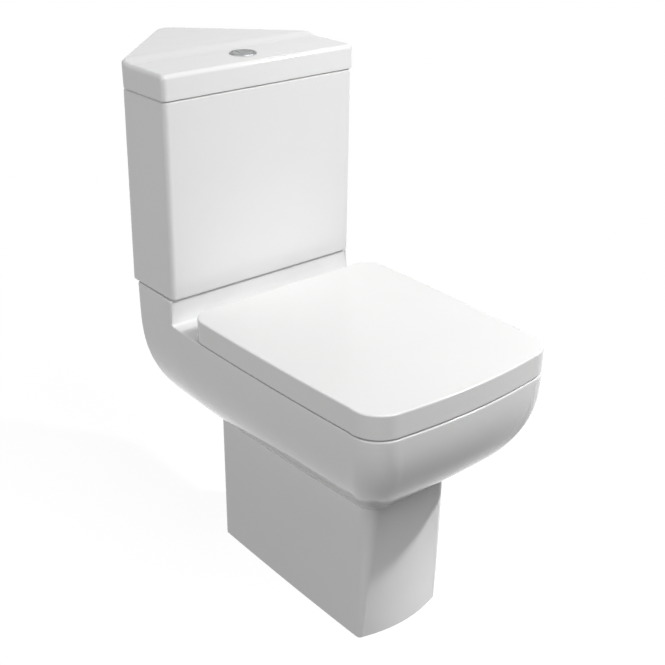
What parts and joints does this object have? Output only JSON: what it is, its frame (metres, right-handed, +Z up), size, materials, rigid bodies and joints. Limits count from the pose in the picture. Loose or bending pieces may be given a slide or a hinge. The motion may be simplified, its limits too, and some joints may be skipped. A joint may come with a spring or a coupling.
{
  "type": "close-coupled corner toilet",
  "caption": "Close-coupled ceramic toilet with a five-sided corner cistern, a wrap-over seat and a dual flush button.",
  "frame": {"origin": "middle of the footprint's bounding box, on the floor", "axes": "+Z up, -Y out of the bowl's front, +Y into the corner of the room, +X to the right of someone facing the cistern"},
  "size_m": [0.364, 0.7679, 0.853],
  "materials": {
    "ceramic": "gloss",
    "seat_plastic": "gloss",
    "white_plastic": "satin",
    "buffer_plastic": "matte",
    "grey_plastic": "satin",
    "blue_plastic": "satin",
    "chrome": "polished",
    "spring_steel": "satin",
    "brass": "satin",
    "rubber": "matte"
  },
  "bodies": {
    "fixed_ceramic": {"pan": "ceramic", "cistern_body": "ceramic", "flush_valve_base": "grey_plastic", "flush_valve_tower": "grey_plastic", "flush_valve_cap": "blue_plastic", "flush_valve_washer": "rubber", "flush_valve_nut": "grey_plastic", "doughnut_seal": "rubber", "coupling_bolts": "brass", "coupling_rubber_washers": "rubber", "coupling_head_washers": "brass", "coupling_under_washers": "brass", "coupling_wing_nuts": "brass", "fill_valve_body": "white_plastic", "inlet_filter": "blue_plastic", "fill_valve_washer": "rubber", "fill_valve_nut": "white_plastic", "float_lever_pin": "brass", "hinge_posts": "chrome", "hinge_pins": "chrome", "hinge_gaskets": "rubber", "hinge_screws": "spring_steel", "hinge_plugs": "rubber"},
    "lift_off_lid": {"cistern_lid": "ceramic", "button_bezel": "chrome", "button_nut": "white_plastic", "button_gasket": "rubber", "full_button_spring": "spring_steel", "half_button_spring": "spring_steel"},
    "full_flush": {"full_flush_button": "chrome", "full_push_rod": "white_plastic"},
    "half_flush": {"half_flush_button": "chrome", "half_push_rod": "white_plastic"},
    "flush_lift": {"lift_tube": "white_plastic", "flush_seal": "rubber"},
    "float": {"float_cup": "blue_plastic", "float_link": "brass"},
    "float_arm": {"float_lever": "white_plastic"},
    "ring": {"seat_ring": "seat_plastic", "ring_dampers": "grey_plastic", "ring_buffers": "buffer_plastic"},
    "cover": {"seat_lid": "seat_plastic", "lid_dampers": "grey_plastic", "lid_buffers": "buffer_plastic"}
  },
  "joints": [
    {"name": "seat_ring_hinge", "type": "hinge", "parent": "fixed_ceramic", "child": "ring", "pos_m": [0, 0.037, 0.47], "axis": [-1, 0, 0], "range_deg": [0, 93]},
    {"name": "seat_lid_hinge", "type": "hinge", "parent": "ring", "child": "cover", "pos_m": [0, 0.037, 0.47], "axis": [1, 0, 0], "range_deg": [-93, 0]},
    {"name": "cistern_lid_lift", "type": "slide", "parent": "fixed_ceramic", "child": "lift_off_lid", "axis": [0, 0, 1], "range_m": [0, 0.1]},
    {"name": "full_button_press", "type": "slide", "parent": "lift_off_lid", "child": "full_flush", "axis": [0, 0, -1], "range_m": [0, 0.006], "stiffness_N_per_m": 400, "springref_m": -0.004, "deforming": ["full_button_spring"]},
    {"name": "half_button_press", "type": "slide", "parent": "lift_off_lid", "child": "half_flush", "axis": [0, 0, -1], "range_m": [0, 0.006], "stiffness_N_per_m": 400, "springref_m": -0.004, "deforming": ["half_button_spring"]},
    {"name": "flush_valve_lift", "type": "slide", "parent": "fixed_ceramic", "child": "flush_lift", "axis": [0, 0, 1], "range_m": [0, 0.018]},
    {"name": "float_slide", "type": "slide", "parent": "fixed_ceramic", "child": "float", "axis": [0, 0, 1], "range_m": [-0.01, 0]},
    {"name": "float_lever_pivot", "type": "hinge", "parent": "fixed_ceramic", "child": "float_arm", "pos_m": [-0.092, 0.245, 0.756], "axis": [0, -1, 0], "range_deg": [-19, 0]}
  ],
  "couplings": [
    {"joint": "flush_valve_lift", "follows": "full_button_press", "ratio": 3},
    {"joint": "float_lever_pivot", "follows": "float_slide", "rad_per_m": 32.258}
  ]
}
